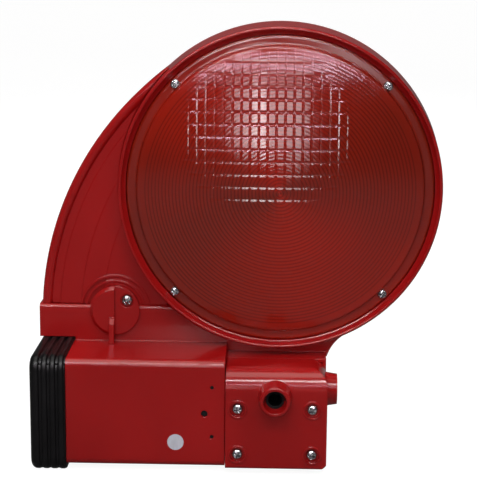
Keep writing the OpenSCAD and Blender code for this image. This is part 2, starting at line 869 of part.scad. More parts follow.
module tube_from(rings) {
    n = len(rings);
    m = len(rings[0]);
    points = [for (ring = rings) for (p = ring) p];
    sides = [
        for (i = [0 : n - 2], k = [0 : m - 1])
            each [
                [i * m + k, i * m + (k + 1) % m, (i + 1) * m + (k + 1) % m],
                [i * m + k, (i + 1) * m + (k + 1) % m, (i + 1) * m + k]
            ]
    ];
    first = [for (k = [m - 1 : -1 : 0]) k];
    last = [for (k = [0 : m - 1]) (n - 1) * m + k];
    polyhedron(points, concat([first], sides, [last]), convexity = 4);
}

module battery_terminals() {
    color("silver")
    for (p = term_pos)
        tube_from(spring_rings(p[0], p[1], 3, 7, 4, 1.4, 6, 48));
}

// ---- Contacts and switch ----

module contact_carrier() {
    gap = 0.4;
    color("ivory")
    difference() {
        block([carrier_l, bay_front + gap, bay_bottom + gap],
              [carrier_r, bay_rear - gap, bay_top - gap]);
        for (z = pin_points)
            rod_y([(carrier_l + carrier_r) / 2, z], bay_front - 1, bay_front + 7.4, pin_d + 0.04);
        for (p = term_pos) rod_x(p, carrier_l - 1, carrier_r + 1, 3);
    }
}

module contact_strips() {
    color("goldenrod")
    for (p = term_pos) {
        rod_x(p, strip_l, carrier_l, 13);
        rod_x(p, carrier_l - eps, carrier_r + 0.8, 2.8);
    }
}

module carrier_pins() {
    color("dimgray")
    for (z = pin_points)
        rod_y([(carrier_l + carrier_r) / 2, z], box_front + 0.4, bay_front + 7, pin_d);
}

module switch_body() {
    color("black")
    difference() {
        block([carrier_l - 6.4, bay_front + 1.5, switch_z - 6.5],
              [carrier_l, bay_front + 11, switch_z + 6.5]);
        rod_y([switch_x, switch_z], bay_front, bay_front + 8, button_d + 0.6);
    }
}

module switch_button() {
    color("dimgray")
    rod_y([switch_x, switch_z], box_front + 0.9, bay_front + 4, button_d);
}

module switch_contact() {
    color("silver")
    rod_y([switch_x, switch_z], bay_front + 4 + press + 0.2, bay_front + 8, button_d - 1);
}

// Rings round a lead: each is square to the mean of the two stretches that meet there
function lead_rings(points, sides) = [
    for (i = [0 : len(points) - 1])
        let (before = points[max(i - 1, 0)])
        let (after = points[min(i + 1, len(points) - 1)])
        let (in_way = i == 0 ? after - points[i] : points[i] - before)
        let (out_way = i == len(points) - 1 ? in_way : after - points[i])
        let (sum = in_way / norm(in_way) + out_way / norm(out_way))
        let (way = sum / norm(sum))
        let (side_raw = [0, 1, 0] - way[1] * way)
        let (side = side_raw / norm(side_raw))
        let (up = cross(way, side))
        [for (k = [0 : sides - 1])
            points[i] + lead_d / 2 * (cos(360 * k / sides) * side + sin(360 * k / sides) * up)]
];

// Leads held inside the housing, from the contact tails to the lamp board
module power_leads() {
    color("darkred")
    for (i = [0, 1]) {
        y = lead_y[i];
        h = seam_z + 6.5 + 3 * i;
        tube_from(lead_rings([
            [lead_mid_x, y, box_mid + 12], [lead_mid_x, y, bay_top - 0.6],
            [lead_mid_x - 1.8, y, bay_top + 1.2], [lead_mid_x - lead_run + 4, y, bay_top + 1.2],
            [lead_mid_x - lead_run, y, box_top + 2.2],
            [drum_left - 2, y, seam_z - 12], [drum_left - 9, y, seam_z - 3],
            [drum_left - 9, y, h - 3], [drum_left - 6, y, h], [drum_left + 14, y, h],
            [head_x - 32, board_front - 3, head_z - 17 + 4 * i],
            [head_x - 28, board_front - 3, head_z - 15 + 4 * i],
            [head_x - 17.2, board_front - 3, head_z - 15 + 4 * i]
        ], 8));
    }
}

module blank_label() {
    color("gainsboro")
    rod_y([box_r - label_in, box_mid - label_down], box_front - 0.2, box_front, label_d);
}

base_housing();
head_housing();
lens();
lens_seal();
lens_screws();
prism_plate();
rear_cover();
rear_seal();
rear_screws();
led_board();
led_emitter();
led_collar();
light_sensor();
board_capacitor();
board_connector();
board_screws();
clamp_disc();
clamp_screw();
tab_screws();
mount_cover();
cover_screws();
bolt_sleeve();
side_insert();
battery_cap();
battery_case();
battery_lid();
battery_terminals();
contact_carrier();
contact_strips();
carrier_pins();
switch_body();
switch_button();
switch_contact();
power_leads();
blank_label();
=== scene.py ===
"""Visible model of a barricade warning light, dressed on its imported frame."""

import logging
import math
from dataclasses import dataclass, field
from enum import Enum
from typing import Callable, Iterable, Sequence

import bmesh
import bpy
from mathutils import Matrix, Vector


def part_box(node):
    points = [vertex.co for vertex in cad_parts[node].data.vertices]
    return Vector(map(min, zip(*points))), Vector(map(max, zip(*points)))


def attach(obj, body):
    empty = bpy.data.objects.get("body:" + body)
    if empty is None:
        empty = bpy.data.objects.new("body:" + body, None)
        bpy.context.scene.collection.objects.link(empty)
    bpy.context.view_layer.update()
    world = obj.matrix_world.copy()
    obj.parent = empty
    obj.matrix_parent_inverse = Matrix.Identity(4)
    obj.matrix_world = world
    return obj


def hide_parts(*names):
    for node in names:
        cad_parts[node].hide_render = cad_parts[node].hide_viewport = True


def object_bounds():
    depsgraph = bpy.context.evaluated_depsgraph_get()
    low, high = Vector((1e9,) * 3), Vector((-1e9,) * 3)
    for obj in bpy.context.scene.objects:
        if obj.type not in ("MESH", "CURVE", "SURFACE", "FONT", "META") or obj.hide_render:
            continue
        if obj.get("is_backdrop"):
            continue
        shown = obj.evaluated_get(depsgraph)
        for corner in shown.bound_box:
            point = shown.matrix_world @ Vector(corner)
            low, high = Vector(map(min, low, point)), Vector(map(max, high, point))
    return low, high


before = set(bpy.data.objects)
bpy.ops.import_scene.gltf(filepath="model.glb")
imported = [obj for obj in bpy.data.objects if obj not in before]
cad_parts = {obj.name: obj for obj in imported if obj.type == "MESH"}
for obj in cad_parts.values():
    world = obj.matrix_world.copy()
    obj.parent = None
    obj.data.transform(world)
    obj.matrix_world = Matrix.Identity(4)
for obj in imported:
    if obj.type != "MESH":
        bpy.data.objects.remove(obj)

LOG = logging.getLogger("warning_light")
MM = 0.001
CORNERS = ((-1, -1), (1, -1), (1, 1), (-1, 1))
Socket = bpy.types.NodeSocket
Piece = bpy.types.Object
Pair = tuple[float, float]
Point = tuple[float, float, float]
Colour = tuple[float, float, float]
Ring = list[Point]


class Body(Enum):
    """Moving bodies of the light."""

    HOUSING = "housing"
    END_CAP = "end_cap"
    BATTERY = "battery"
    BUTTON = "button"


class Slot(Enum):
    """Material slots of the record."""

    RED_PLASTIC = "red_plastic"
    RED_LENS = "red_lens"
    CLEAR_PRISM = "clear_prism"
    SEAL_RUBBER = "seal_rubber"
    CAP_RUBBER = "cap_rubber"
    SCREW_STEEL = "screw_steel"
    SPRING_STEEL = "spring_steel"
    SLEEVE_STEEL = "sleeve_steel"
    INSERT_BRASS = "insert_brass"
    BOARD_GREEN = "board_green"
    EMITTER_RESIN = "emitter_resin"
    WHITE_PLASTIC = "white_plastic"
    SENSOR_BLACK = "sensor_black"
    LEAD_SLEEVE = "lead_sleeve"
    BATTERY_JACKET = "battery_jacket"
    LABEL_PAPER = "label_paper"


class Glow(Enum):
    """What a lamp gives: everything, only its reflection, or only soft light."""

    ALL = "all"
    SHINE = "shine"
    SOFT = "soft"


# ---- Finishes ----


class NodeBench:
    """Small helper that lays out the nodes of one material."""

    def __init__(self, name: str) -> None:
        """Starts a material.

        Args:
            name: Name of the material.
        """
        self.material = bpy.data.materials.new(name)
        self.material.use_nodes = True
        self.tree = self.material.node_tree
        self.tree.nodes.clear()
        self.output = self.tree.nodes.new("ShaderNodeOutputMaterial")
        self.coords = self.tree.nodes.new("ShaderNodeTexCoord").outputs["Object"]

    def add(self, kind: str, **settings: object) -> bpy.types.Node:
        """Adds a node.

        Args:
            kind: Type name of the node without its prefix.
            settings: Attributes set on the node.

        Returns:
            The new node.
        """
        node = self.tree.nodes.new("ShaderNode" + kind)
        for key, value in settings.items():
            setattr(node, key, value)
        return node

    def link(self, source: Socket, target: Socket) -> None:
        """Joins an output to an input."""
        self.tree.links.new(source, target)

    def maths(self, kind: str, first: object, second: object = 0.0) -> Socket:
        """Adds a maths node.

        Args:
            kind: Operation, such as MULTIPLY.
            first: Socket or number of the first input.
            second: Socket or number of the second input.

        Returns:
            The output socket.
        """
        node = self.add("Math", operation=kind)
        for slot, value in zip(node.inputs, (first, second)):
            if isinstance(value, (int, float)):
                slot.default_value = value
            else:
                self.link(value, slot)
        return node.outputs[0]

    def noise(self, scale: float, detail: float = 3.0, stretch: Sequence[float] = (1, 1, 1)) -> Socket:
        """Adds a noise texture in the part's own space.

        Args:
            scale: Cells per metre.
            detail: Number of finer layers.
            stretch: Factors along X, Y and Z.

        Returns:
            The noise value, from 0 to 1.
        """
        mapping = self.add("Mapping")
        mapping.inputs["Scale"].default_value = tuple(stretch)
        self.link(self.coords, mapping.inputs["Vector"])
        texture = self.add("TexNoise")
        texture.inputs["Scale"].default_value = scale
        texture.inputs["Detail"].default_value = detail
        self.link(mapping.outputs[0], texture.inputs["Vector"])
        return texture.outputs[0]

    def between(
        self, factor: Socket, low: float, high: float, start: float = 0.3, end: float = 0.7,
    ) -> Socket:
        """Maps a value to a range.

        Args:
            factor: Value to map.
            low: Result at start.
            high: Result at end.
            start: Value that gives low.
            end: Value that gives high.

        Returns:
            The mapped value.
        """
        node = self.add("MapRange")
        self.link(factor, node.inputs["Value"])
        for key, value in (("From Min", start), ("From Max", end), ("To Min", low), ("To Max", high)):
            node.inputs[key].default_value = value
        return node.outputs[0]

    def blend(self, factor: Socket, low: Sequence[float], high: Sequence[float]) -> Socket:
        """Blends two colours.

        Args:
            factor: Blend from 0 to 1.
            low: Colour at 0.
            high: Colour at 1.

        Returns:
            The blended colour.
        """
        node = self.add("Mix", data_type="RGBA")
        self.link(factor, node.inputs["Factor"])
        node.inputs["A"].default_value = (*low[:3], 1)
        node.inputs["B"].default_value = (*high[:3], 1)
        return node.outputs["Result"]

    def bump(self, height: Socket, depth_mm: float, normal: Socket | None = None) -> Socket:
        """Adds relief.

        Args:
            height: Height from 0 to 1.
            depth_mm: Depth of the relief in millimetres.
            normal: Normal that the relief is laid on.

        Returns:
            The new normal.
        """
        node = self.add("Bump")
        node.inputs["Strength"].default_value = 1.0
        node.inputs["Distance"].default_value = depth_mm * MM
        self.link(height, node.inputs["Height"])
        if normal is not None:
            self.link(normal, node.inputs["Normal"])
        return node.outputs[0]

    def rounded(self, radius_mm: float) -> Socket:
        """Softens sharp edges.

        Args:
            radius_mm: Radius of the softened edges in millimetres.

        Returns:
            The softened normal.
        """
        node = self.add("Bevel", samples=6)
        node.inputs["Radius"].default_value = radius_mm * MM
        return node.outputs[0]

    def surface(self, **values: object) -> bpy.types.Node:
        """Adds the main shader and joins it to the output.

        Args:
            values: Inputs by name, with underscores for spaces, as numbers, colours or sockets.

        Returns:
            The shader node.
        """
        shader = self.add("BsdfPrincipled")
        for key, value in values.items():
            slot = shader.inputs[key.replace("_", " ")]
            if isinstance(value, Socket):
                self.link(value, slot)
            elif isinstance(value, (tuple, list)):
                slot.default_value = (*value[:3], 1) if len(value) == 3 else value
            else:
                slot.default_value = value
        self.link(shader.outputs[0], self.output.inputs["Surface"])
        return shader


@dataclass(frozen=True)
class MouldedPlastic:
    """Injection-moulded plastic with a fine grain, faint flow marks and softened edges."""

    name: str
    colour: Colour
    roughness: float = 0.3
    specular: float = 0.2
    grain_mm: float = 0.012
    edge_mm: float = 0.5

    def make(self) -> bpy.types.Material:
        """Builds the material.

        Returns:
            The new material.
        """
        bench = NodeBench(self.name)
        flow = bench.noise(14.0, 4.0, (1.0, 1.0, 0.55))
        paler = tuple(min(1.0, c * 1.14 + 0.001) for c in self.colour)
        deeper = tuple(c * 0.88 for c in self.colour)
        colour = bench.blend(bench.between(flow, 0.0, 1.0), deeper, paler)
        dull = bench.noise(60.0, 5.0)
        rough = bench.between(dull, self.roughness * 0.85, self.roughness * 1.2)
        grain = bench.noise(1500.0, 2.0)
        waves = bench.noise(28.0, 1.0)
        normal = bench.bump(waves, 0.10, bench.rounded(self.edge_mm))
        normal = bench.bump(grain, self.grain_mm, normal)
        bench.surface(Base_Color=colour, Roughness=rough, Normal=normal, Specular_IOR_Level=self.specular)
        return bench.material


@dataclass(frozen=True)
class LensPlastic:
    """Clear red plastic over a grid of flat cells, with painted light and shade in broad sectors and painted
    shade along its ring grooves.
    """

    name: str
    # colour is the lens in its painted lit sectors, deep is the lens in its painted shaded sectors.
    colour: Colour
    deep: Colour
    centre: Pair = (0.0, 0.0)
    cell: Pair = (5.75, 8.15)
    grid_radius: float = 0.09
    grid_middle: Pair = (-0.009, 0.038)
    grid_reach: Pair = (0.044, 0.060)
    groove_pitch: float = 2.3
    # Share of painted shade that darkens the grooves.
    groove_shade: float = 0.38
    # Turn, in radians, of the lobes of painted light round the lens.
    painted_light_turn: float = 1.9

    def make(self) -> bpy.types.Material:
        """Builds the material.

        Returns:
            The new material.
        """
        bench = NodeBench(self.name)
        split = bench.add("SeparateXYZ")
        bench.link(bench.coords, split.inputs[0])
        ridges, places = [], []
        for axis, pitch, start in ((0, self.cell[0], self.centre[0]), (2, self.cell[1], self.centre[1])):
            place = bench.maths("SUBTRACT", split.outputs[axis], start)
            places.append(place)
            turn = bench.maths("MULTIPLY", place, math.pi / (pitch * MM))
            height = bench.maths("ABSOLUTE", bench.maths("COSINE", turn))
            ridges.append(bench.between(height, 0.0, 1.0, 0.02, 0.5))
        squares = [bench.maths("MULTIPLY", place, place) for place in places]
        radius = bench.maths("SQRT", bench.maths("ADD", squares[0], squares[1]))
        inside = bench.between(radius, 1.0, 0.0, self.grid_radius, self.grid_radius + 0.002)
        bench.surface(
            Base_Color=self.tone_with_painted_light(bench, places, radius, inside), Transmission_Weight=0.28, IOR=1.49,
            Roughness=bench.between(bench.noise(90.0, 3.0), 0.06, 0.11), Specular_IOR_Level=0.45,
            Normal=self.relief(bench, ridges, places),
        )
        return bench.material

    def tone_with_painted_light(
        self, bench: NodeBench, places: list[Socket], radius: Socket,
        inside: Socket,
    ) -> Socket:
        """Paints light and shade: blends the colour from the painted shaded sectors to the painted lit ones
        and paints shade into the grooves.

        Args:
            bench: Nodes of the material.
            places: X and Z from the middle of the lens.
            radius: Distance from the middle of the lens.
            inside: 1 on the ringed part and 0 on the flange.

        Returns:
            The colour.
        """
        angle = bench.maths("ARCTAN2", places[1], places[0])
        # Painted light and shade: two lit lobes and two shaded ones round the lens, broken up by noise.
        turned = bench.maths("MULTIPLY", bench.maths("SUBTRACT", angle, self.painted_light_turn), 2.0)
        painted_light_lobes = bench.maths("COSINE", turned)
        haze_and_painted_light_noise = bench.between(bench.noise(22.0, 4.0), -0.25, 0.25)
        painted_light_share = bench.between(bench.maths("ADD", painted_light_lobes, haze_and_painted_light_noise), 0.0, 1.0, -1.1, 1.1)
        colour = bench.blend(painted_light_share, self.deep, self.colour)
        # Painted shade: thin dark rings at the groove pitch, where shade falls in the ring grooves.
        turn = bench.maths("MULTIPLY", radius, math.pi / (self.groove_pitch * MM))
        groove = bench.maths("POWER", bench.maths("ABSOLUTE", bench.maths("COSINE", turn)), 5.0)
        shadow = bench.maths("MULTIPLY", bench.maths("MULTIPLY", groove, inside), self.groove_shade)
        shade = bench.maths("SUBTRACT", 1.0, shadow)
        dark = bench.add("VectorMath", operation="SCALE")
        bench.link(colour, dark.inputs[0])
        bench.link(shade, dark.inputs["Scale"])
        return dark.outputs[0]

    def relief(
        self, bench: NodeBench, ridges: list[Socket], places: list[Socket],
    ) -> Socket:
        """Sinks the lines between the cells, which fade away from the middle of the grid.

        Args:
            bench: Nodes of the material.
            ridges: Height across and up the cells.
            places: X and Z from the middle of the lens.

        Returns:
            The normal.
        """
        steps = [bench.maths("SUBTRACT", place, start) for place, start in zip(places, self.grid_middle)]
        squares = [bench.maths("MULTIPLY", step, step) for step in steps]
        away = bench.maths("SQRT", bench.maths("ADD", squares[0], squares[1]))
        strength = bench.between(away, 1.0, 0.0, *self.grid_reach)
        pillow = bench.maths("MULTIPLY", bench.maths("MULTIPLY", ridges[0], ridges[1]), strength)
        return bench.bump(bench.noise(420.0, 2.0), 0.006, bench.bump(pillow, 0.22))


@dataclass(frozen=True)
class ClearPlastic:
    """Clear plastic of the prism plate."""

    name: str
    colour: Colour

    def make(self) -> bpy.types.Material:
        """Builds the material.

        Returns:
            The new material.
        """
        bench = NodeBench(self.name)
        haze_and_painted_light_noise = bench.noise(30.0, 3.0)
        colour = bench.blend(bench.between(haze_and_painted_light_noise, 0.0, 1.0), tuple(c * 0.9 for c in self.colour), self.colour)
        rough = bench.between(bench.noise(70.0, 3.0), 0.12, 0.22)
        normal = bench.bump(bench.noise(600.0, 2.0), 0.01)
        bench.surface(Base_Color=colour, Roughness=rough, Normal=normal, Transmission_Weight=0.6, IOR=1.49)
        return bench.material


@dataclass(frozen=True)
class Rubber:
    """Matte rubber with a fine pebbled skin and pale dust."""

    name: str
    colour: Colour
    roughness: float = 0.5
    specular: float = 0.25

    def make(self) -> bpy.types.Material:
        """Builds the material.

        Returns:
            The new material.
        """
        bench = NodeBench(self.name)
        dust = bench.noise(35.0, 6.0)
        dusty = tuple(c * 1.6 + 0.002 for c in self.colour)
        colour = bench.blend(bench.between(dust, 0.0, 1.0, 0.4, 0.75), self.colour, dusty)
        rough = bench.between(bench.noise(110.0, 4.0), self.roughness * 0.85, self.roughness * 1.2)
        normal = bench.bump(bench.noise(1900.0, 3.0), 0.03, bench.rounded(0.4))
        bench.surface(Base_Color=colour, Roughness=rough, Normal=normal, Specular_IOR_Level=self.specular)
        return bench.material


@dataclass(frozen=True)
class Metal:
    """Plated, drawn or turned metal with fine marks."""

    name: str
    colour: Colour
    roughness: float = 0.25
    marks: tuple[float, float, float] = (1.0, 1.0, 1.0)

    def make(self) -> bpy.types.Material:
        """Builds the material.

        Returns:
            The new material.
        """
        bench = NodeBench(self.name)
        tarnish = bench.noise(260.0, 5.0)
        dulled = tuple(c * 0.72 for c in self.colour)
        colour = bench.blend(bench.between(tarnish, 0.0, 1.0), dulled, self.colour)
        scratch = bench.noise(2600.0, 2.0, self.marks)
        rough = bench.between(scratch, self.roughness * 0.75, self.roughness * 1.35)
        normal = bench.bump(scratch, 0.008, bench.rounded(0.15))
        bench.surface(Base_Color=colour, Roughness=rough, Normal=normal, Metallic=1.0)
        return bench.material


@dataclass(frozen=True)
class Paper:
    """Blank paper sticker with faint fibres."""

    name: str
    colour: Colour

    def make(self) -> bpy.types.Material:
        """Builds the material.

        Returns:
            The new material.
        """
        bench = NodeBench(self.name)
        fibre = bench.noise(900.0, 4.0, (1.0, 1.0, 0.3))
        shaded = tuple(c * 0.86 for c in self.colour)
        colour = bench.blend(bench.between(fibre, 0.0, 1.0), shaded, self.colour)
        normal = bench.bump(fibre, 0.015)
        bench.surface(Base_Color=colour, Roughness=0.55, Normal=normal, Specular_IOR_Level=0.3)
        return bench.material


@dataclass(frozen=True)
class CircuitBoard:
    """Lacquered circuit board with a faint lattice of tracks."""

    name: str
    colour: Colour

    def make(self) -> bpy.types.Material:
        """Builds the material.

        Returns:
            The new material.
        """
        bench = NodeBench(self.name)
        tracks = bench.add("TexBrick")
        tracks.inputs["Scale"].default_value = 160.0
        tracks.inputs["Mortar Size"].default_value = 0.03
        tracks.inputs["Color1"].default_value = (*self.colour, 1)
        tracks.inputs["Color2"].default_value = (*(c * 0.8 for c in self.colour), 1)
        tracks.inputs["Mortar"].default_value = (*(c * 1.8 for c in self.colour), 1)
        turn = bench.add("Mapping")
        turn.inputs["Rotation"].default_value = (math.pi / 2, 0, 0)
        bench.link(bench.coords, turn.inputs["Vector"])
        bench.link(turn.outputs[0], tracks.inputs["Vector"])
        normal = bench.bump(bench.noise(500.0, 2.0), 0.01)
        bench.surface(Base_Color=tracks.outputs["Color"], Roughness=0.35, Normal=normal)
        return bench.material


class FinishShelf:
    """Makes each finish once and hands it out."""

    def __init__(self, lens_centre: Pair) -> None:
        """Builds the finishes.

        Args:
            lens_centre: X and Z of the middle of the lens, in metres.
        """
        red = MouldedPlastic("moulded red plastic", (0.30, 0.0050, 0.0052), 0.14, 0.26, edge_mm=1.0)
        finishes = {
            Slot.RED_PLASTIC: red,
            # Lens colours: first its painted lit sectors, then its painted shaded sectors.
            Slot.RED_LENS: LensPlastic(
                "red lens plastic", (0.42, 0.013, 0.004), (0.22, 0.012, 0.004), lens_centre,
            ),
            Slot.CLEAR_PRISM: ClearPlastic("clear prism plastic", (0.50, 0.42, 0.40)),
            Slot.SEAL_RUBBER: Rubber("seal rubber", (0.055, 0.007, 0.006)),
            Slot.CAP_RUBBER: Rubber("cap rubber", (0.0030, 0.0027, 0.0030), 0.36, 0.12),
            Slot.SCREW_STEEL: Metal("plated screw steel", (0.50, 0.50, 0.51), 0.2),
            Slot.SPRING_STEEL: Metal("drawn spring steel", (0.5, 0.5, 0.51), 0.3, (1.0, 0.1, 1.0)),
            Slot.SLEEVE_STEEL: Metal("dull sleeve steel", (0.014, 0.013, 0.013), 0.5, (1.0, 0.1, 1.0)),
            Slot.INSERT_BRASS: Metal("turned brass", (0.62, 0.43, 0.17), 0.28, (0.1, 1.0, 1.0)),
            Slot.BOARD_GREEN: CircuitBoard("lacquered board", (0.02, 0.12, 0.045)),
            Slot.EMITTER_RESIN: MouldedPlastic("emitter resin", (0.75, 0.55, 0.12), 0.15, 0.5),
            Slot.WHITE_PLASTIC: MouldedPlastic("off-white plastic", (0.62, 0.61, 0.56), 0.45, 0.4),
            Slot.SENSOR_BLACK: MouldedPlastic("black plastic", (0.004, 0.004, 0.0045), 0.45, 0.12),
            Slot.LEAD_SLEEVE: MouldedPlastic("lead sleeve", (0.25, 0.012, 0.012), 0.4, 0.4),
            Slot.BATTERY_JACKET: MouldedPlastic("battery jacket", (0.02, 0.045, 0.07), 0.3, 0.4),
            Slot.LABEL_PAPER: Paper("label paper", (0.55, 0.56, 0.62)),
        }
        self.made: dict[Slot, bpy.types.Material] = {key: item.make() for key, item in finishes.items()}

    def dress(self, piece: Piece, slot: Slot) -> None:
        """Puts a finish on a piece.

        Args:
            piece: Mesh object to dress.
            slot: Slot whose finish it takes.
        """
        if not piece.material_slots:
            piece.data.materials.append(None)
        for holder in piece.material_slots:
            holder.link = "OBJECT"
            holder.material = self.made[slot]


# ---- Mesh making ----


@dataclass
class MeshPress:
    """Collects points and faces, in millimetres, and turns them into one object."""

    points: list[Point] = field(default_factory=list)
    faces: list[tuple[int, ...]] = field(default_factory=list)

    def skin(self, rings: Sequence[Ring], close_round: bool = True, close_along: bool = False) -> None:
        """Adds a skin over rings of equally many points.

        Args:
            rings: The rings in order.
            close_round: True if each ring is a closed loop.
            close_along: True if the last ring joins the first.
        """
        base = len(self.points)
        count = len(rings[0])
        for ring in rings:
            self.points.extend(ring)
        steps = len(rings) if close_along else len(rings) - 1
        turns = count if close_round else count - 1
        for i in range(steps):
            for k in range(turns):
                a, b = base + i * count + k, base + i * count + (k + 1) % count
                j = (i + 1) % len(rings)
                c, d = base + j * count + (k + 1) % count, base + j * count + k
                self.faces.append((a, b, c, d))

    def lathe(self, profile: Sequence[Pair], centre: Pair, segments: int, closed: bool = True) -> None:
        """Turns a profile about an axis along Y.

        Args:
            profile: Radius and Y of each point.
            centre: X and Z of the axis.
            segments: Number of steps round.
            closed: True if the profile is a loop.
        """
        turns = [math.tau * k / segments for k in range(segments)]
        rings = []
        for radius, y in profile:
            r = max(radius, 0.001)
            rings.append([(centre[0] + r * math.cos(t), y, centre[1] + r * math.sin(t)) for t in turns])
        self.skin(rings, True, closed)

    def lid(self, ring: Ring, middle: Point) -> None:
        """Closes a ring with a fan.

        Args:
            ring: Points of the ring.
            middle: Point in the middle of the fan.
        """
        base = len(self.points)
        self.points.extend(ring)
        self.points.append(middle)
        for k in range(len(ring)):
            self.faces.append((base + k, base + (k + 1) % len(ring), base + len(ring)))

    def close_last(self) -> None:
        """Closes the last four points with one flat face."""
        count = len(self.points)
        self.faces.append(tuple(range(count - len(CORNERS), count)))

    def press(self, name: str, smooth_angle: float = 35.0) -> Piece:
        """Makes the object.

        Args:
            name: Name of the piece.
            smooth_angle: Edges flatter than this, in degrees, are shaded smooth.

        Returns:
            The new object, with its faces turned outwards.
        """
        mesh = bpy.data.meshes.new(name)
        mesh.from_pydata([tuple(c * MM for c in p) for p in self.points], [], self.faces)
        mesh.validate()
        piece = bpy.data.objects.new(name, mesh)
        bpy.context.scene.collection.objects.link(piece)
        MeshPress.tidy(piece, smooth_angle)
        return piece

    @staticmethod
    def tidy(piece: Piece, smooth_angle: float) -> None:
        """Merges doubled points, turns faces outwards and sets the shading.

        Args:
            piece: Object whose mesh is tidied.
            smooth_angle: Edges flatter than this, in degrees, are shaded smooth.
        """
        work = bmesh.new()
        work.from_mesh(piece.data)
        bmesh.ops.remove_doubles(work, verts=work.verts, dist=2e-6)
        bmesh.ops.recalc_face_normals(work, faces=work.faces)
        for edge in work.edges:
            if len(edge.link_faces) == 2:
                edge.smooth = edge.calc_face_angle(0.0) < math.radians(smooth_angle)
        for face in work.faces:
            face.smooth = True
        work.to_mesh(piece.data)
        work.free()


def size_of(node: str) -> tuple[Vector, Vector]:
    """Low and high corner of a CAD node, in millimetres."""
    low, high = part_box(node)
    return low / MM, high / MM


def middle_of(node: str) -> Vector:
    """Middle of a CAD node, in millimetres."""
    low, high = size_of(node)
    return (low + high) / 2


def solids_of(node: str) -> list[tuple[Vector, Vector]]:
    """Finds the separate solids of a CAD node.

    Args:
        node: Name of the node.

    Returns:
        Low and high corner of each solid, in millimetres, in a steady order.
    """
    work = bmesh.new()
    work.from_mesh(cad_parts[node].data)
    bmesh.ops.remove_doubles(work, verts=work.verts, dist=1e-6)
    seen: set[int] = set()
    found = []
    for start in work.verts:
        if start.index in seen:
            continue
        heap, group = [start], []
        seen.add(start.index)
        while heap:
            vert = heap.pop()
            group.append(vert.co)
            for edge in vert.link_edges:
                other = edge.other_vert(vert)
                if other.index not in seen:
                    seen.add(other.index)
                    heap.append(other)
        low = Vector([min(p[i] for p in group) for i in range(3)]) / MM
        high = Vector([max(p[i] for p in group) for i in range(3)]) / MM
        found.append((low, high))
    work.free()
    return sorted(found, key=lambda pair: tuple(round(v, 2) for v in pair[0]))


# ---- Pieces ----


@dataclass
class Workshop:
    """What every sub-assembly needs: the finishes and a way to finish a piece."""

    shelf: FinishShelf

    def finish(self, piece: Piece, slot: Slot, body: Body, *nodes: str) -> Piece:
        """Dresses a new piece and fixes it to its body.

        Args:
            piece: The new piece.
            slot: Slot of its finish.
            body: Body that it moves with.
            nodes: CAD nodes that it stands for.

        Returns:
            The same piece.
        """
        self.shelf.dress(piece, slot)
        if nodes:
            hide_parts(*nodes)
        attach(piece, body.value)
        LOG.info("built %s from %d points", piece.name, len(piece.data.vertices))
        return piece

    def carry(self, node: str, slot: Slot) -> None:
        """Dresses a CAD node that is shown as it is.

        Args:
            node: Name of the node.
            slot: Slot of its finish.
        """
        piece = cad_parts[node]
        self.shelf.dress(piece, slot)
        LOG.info("carried over %s", node)


